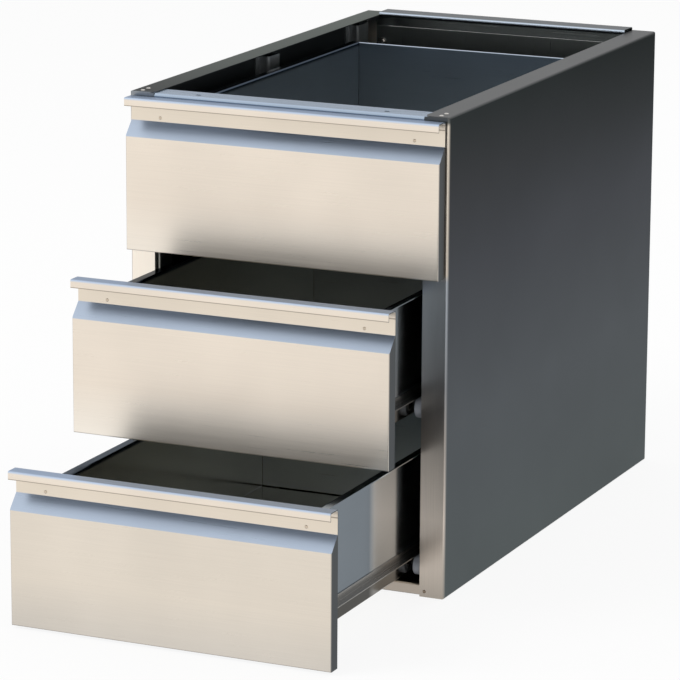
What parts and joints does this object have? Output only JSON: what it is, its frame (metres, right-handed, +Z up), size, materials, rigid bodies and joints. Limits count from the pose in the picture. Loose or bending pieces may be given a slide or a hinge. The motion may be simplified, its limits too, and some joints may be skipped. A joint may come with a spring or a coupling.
{
  "type": "outdoor kitchen drawer unit",
  "caption": "Free-standing case in folded stainless sheet with wide drawers on nylon rollers, open on top for a worktop; each front has a sloped finger recess under a hooked cap.",
  "frame": {"origin": "middle of the case's footprint, on the floor", "axes": "+X to the right as seen from the front, +Y to the back, +Z up; the drawers open towards -Y"},
  "size_m": [0.4, 0.9765, 0.564],
  "materials": {
    "front_steel": "fine grain along the width",
    "case_steel": "fine upright grain",
    "sheet_steel": "mill finish, half bright",
    "fastener_steel": "smooth, satin",
    "nylon": "smooth, pale"
  },
  "bodies": {
    "cabinet": {"side_panel_left": "case_steel", "side_panel_right": "case_steel", "front_top_rail": "sheet_steel", "rear_top_rail": "sheet_steel", "back_panel": "case_steel", "bottom_panel": "sheet_steel", "upright_front_left": "sheet_steel", "upright_middle_left": "sheet_steel", "upright_rear_left": "sheet_steel", "upright_front_right": "sheet_steel", "upright_middle_right": "sheet_steel", "upright_rear_right": "sheet_steel", "channel_1_left": "sheet_steel", "channel_1_right": "sheet_steel", "channel_2_left": "sheet_steel", "channel_2_right": "sheet_steel", "channel_3_left": "sheet_steel", "channel_3_right": "sheet_steel", "corner_rivets": "fastener_steel", "floor_screws": "fastener_steel", "back_bolts": "fastener_steel", "front_roller_pins": "fastener_steel"},
    "drawer_1": {"drawer_1_front": "front_steel", "drawer_1_box": "sheet_steel", "drawer_1_inner_front": "sheet_steel", "drawer_1_back": "sheet_steel", "drawer_1_runner_left": "sheet_steel", "drawer_1_runner_right": "sheet_steel", "drawer_1_roller_pins": "fastener_steel", "drawer_1_rivets": "fastener_steel"},
    "drawer_2": {"drawer_2_front": "front_steel", "drawer_2_box": "sheet_steel", "drawer_2_inner_front": "sheet_steel", "drawer_2_back": "sheet_steel", "drawer_2_runner_left": "sheet_steel", "drawer_2_runner_right": "sheet_steel", "drawer_2_roller_pins": "fastener_steel", "drawer_2_rivets": "fastener_steel"},
    "drawer_3": {"drawer_3_front": "front_steel", "drawer_3_box": "sheet_steel", "drawer_3_inner_front": "sheet_steel", "drawer_3_back": "sheet_steel", "drawer_3_runner_left": "sheet_steel", "drawer_3_runner_right": "sheet_steel", "drawer_3_roller_pins": "fastener_steel", "drawer_3_rivets": "fastener_steel"},
    "front_roller_1_left": {"front_roller_1_left": "nylon"},
    "rear_roller_1_left": {"rear_roller_1_left": "nylon"},
    "front_roller_1_right": {"front_roller_1_right": "nylon"},
    "rear_roller_1_right": {"rear_roller_1_right": "nylon"},
    "front_roller_2_left": {"front_roller_2_left": "nylon"},
    "rear_roller_2_left": {"rear_roller_2_left": "nylon"},
    "front_roller_2_right": {"front_roller_2_right": "nylon"},
    "rear_roller_2_right": {"rear_roller_2_right": "nylon"},
    "front_roller_3_left": {"front_roller_3_left": "nylon"},
    "rear_roller_3_left": {"rear_roller_3_left": "nylon"},
    "front_roller_3_right": {"front_roller_3_right": "nylon"},
    "rear_roller_3_right": {"rear_roller_3_right": "nylon"}
  },
  "joints": [
    {"name": "drawer_1_slide", "type": "slide", "parent": "cabinet", "child": "drawer_1", "axis": [0, -1, 0], "range_m": [0, 0.43]},
    {"name": "drawer_2_slide", "type": "slide", "parent": "cabinet", "child": "drawer_2", "axis": [0, -1, 0], "range_m": [-0.134, 0.296]},
    {"name": "drawer_3_slide", "type": "slide", "parent": "cabinet", "child": "drawer_3", "axis": [0, -1, 0], "range_m": [-0.284, 0.146]},
    {"name": "front_roller_1_left_spin", "type": "hinge", "parent": "cabinet", "child": "front_roller_1_left", "pos_m": [-0.1635, -0.32, 0.4072], "axis": [1, 0, 0], "continuous": true},
    {"name": "rear_roller_1_left_spin", "type": "hinge", "parent": "drawer_1", "child": "rear_roller_1_left", "pos_m": [-0.1735, 0.193, 0.4072], "axis": [1, 0, 0], "continuous": true},
    {"name": "front_roller_1_right_spin", "type": "hinge", "parent": "cabinet", "child": "front_roller_1_right", "pos_m": [0.1635, -0.32, 0.4072], "axis": [1, 0, 0], "continuous": true},
    {"name": "rear_roller_1_right_spin", "type": "hinge", "parent": "drawer_1", "child": "rear_roller_1_right", "pos_m": [0.1735, 0.193, 0.4072], "axis": [1, 0, 0], "continuous": true},
    {"name": "front_roller_2_left_spin", "type": "hinge", "parent": "cabinet", "child": "front_roller_2_left", "pos_m": [-0.1635, -0.32, 0.2207], "axis": [1, 0, 0], "continuous": true},
    {"name": "rear_roller_2_left_spin", "type": "hinge", "parent": "drawer_2", "child": "rear_roller_2_left", "pos_m": [-0.1735, 0.059, 0.2207], "axis": [1, 0, 0], "continuous": true},
    {"name": "front_roller_2_right_spin", "type": "hinge", "parent": "cabinet", "child": "front_roller_2_right", "pos_m": [0.1635, -0.32, 0.2207], "axis": [1, 0, 0], "continuous": true},
    {"name": "rear_roller_2_right_spin", "type": "hinge", "parent": "drawer_2", "child": "rear_roller_2_right", "pos_m": [0.1735, 0.059, 0.2207], "axis": [1, 0, 0], "continuous": true},
    {"name": "front_roller_3_left_spin", "type": "hinge", "parent": "cabinet", "child": "front_roller_3_left", "pos_m": [-0.1635, -0.32, 0.0342], "axis": [1, 0, 0], "continuous": true},
    {"name": "rear_roller_3_left_spin", "type": "hinge", "parent": "drawer_3", "child": "rear_roller_3_left", "pos_m": [-0.1735, -0.091, 0.0342], "axis": [1, 0, 0], "continuous": true},
    {"name": "front_roller_3_right_spin", "type": "hinge", "parent": "cabinet", "child": "front_roller_3_right", "pos_m": [0.1635, -0.32, 0.0342], "axis": [1, 0, 0], "continuous": true},
    {"name": "rear_roller_3_right_spin", "type": "hinge", "parent": "drawer_3", "child": "rear_roller_3_right", "pos_m": [0.1735, -0.091, 0.0342], "axis": [1, 0, 0], "continuous": true}
  ],
  "couplings": [
    {"joint": "front_roller_1_left_spin", "follows": "drawer_1_slide", "rad_per_m": 80},
    {"joint": "rear_roller_1_left_spin", "follows": "drawer_1_slide", "rad_per_m": 80},
    {"joint": "front_roller_1_right_spin", "follows": "drawer_1_slide", "rad_per_m": 80},
    {"joint": "rear_roller_1_right_spin", "follows": "drawer_1_slide", "rad_per_m": 80},
    {"joint": "front_roller_2_left_spin", "follows": "drawer_2_slide", "rad_per_m": 80},
    {"joint": "rear_roller_2_left_spin", "follows": "drawer_2_slide", "rad_per_m": 80},
    {"joint": "front_roller_2_right_spin", "follows": "drawer_2_slide", "rad_per_m": 80},
    {"joint": "rear_roller_2_right_spin", "follows": "drawer_2_slide", "rad_per_m": 80},
    {"joint": "front_roller_3_left_spin", "follows": "drawer_3_slide", "rad_per_m": 80},
    {"joint": "rear_roller_3_left_spin", "follows": "drawer_3_slide", "rad_per_m": 80},
    {"joint": "front_roller_3_right_spin", "follows": "drawer_3_slide", "rad_per_m": 80},
    {"joint": "rear_roller_3_right_spin", "follows": "drawer_3_slide", "rad_per_m": 80}
  ]
}
